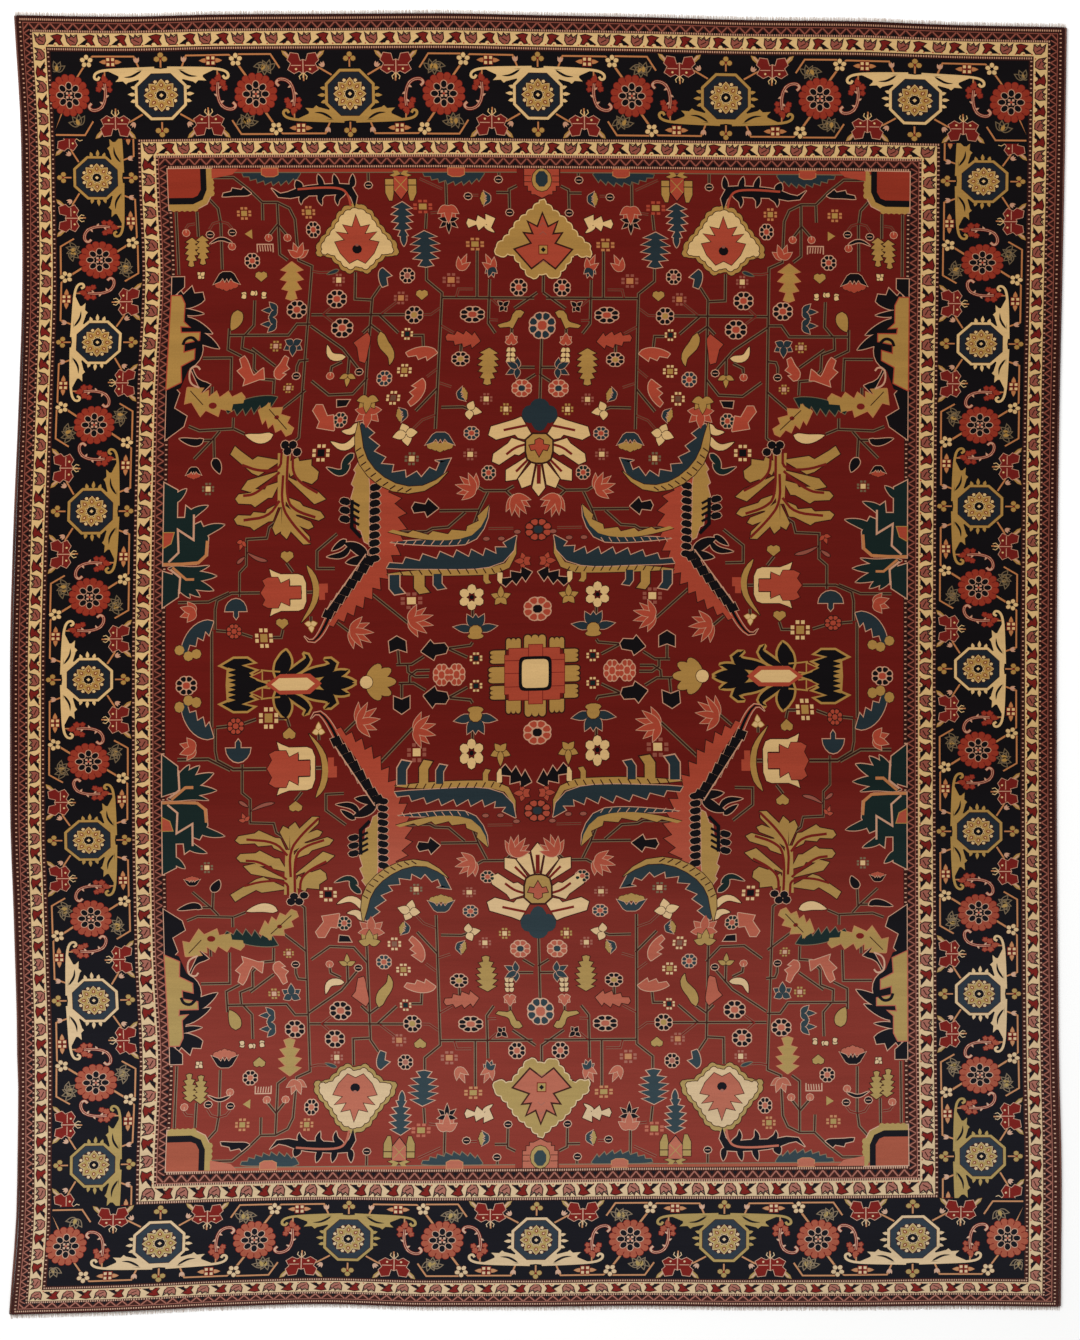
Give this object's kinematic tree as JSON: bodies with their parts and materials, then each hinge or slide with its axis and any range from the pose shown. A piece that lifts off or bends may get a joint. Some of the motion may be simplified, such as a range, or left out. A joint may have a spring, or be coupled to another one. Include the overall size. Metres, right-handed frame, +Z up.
{
  "type": "turkish rug",
  "caption": "Large flat hand-knotted wool rug with bordered field, overcast sides and a short fringe at each end.",
  "frame": {"origin": "middle of the rug's plan box, on the floor under the rug", "axes": "+X across the rug to the picture's right, +Y along it to its head end at the picture's top, +Z up out of the pile"},
  "size_m": [3.702, 4.5849, 0.011],
  "materials": {
    "wool_pile": "matt clipped wool pile",
    "selvedge_wool": "matt overcast wool",
    "warp_ends": "matt undyed spun yarn"
  },
  "bodies": {
    "root": {"rug_body": "wool_pile", "selvedge_left": "selvedge_wool", "selvedge_right": "selvedge_wool", "fringe_head": "warp_ends", "fringe_foot": "warp_ends"}
  },
  "joints": []
}
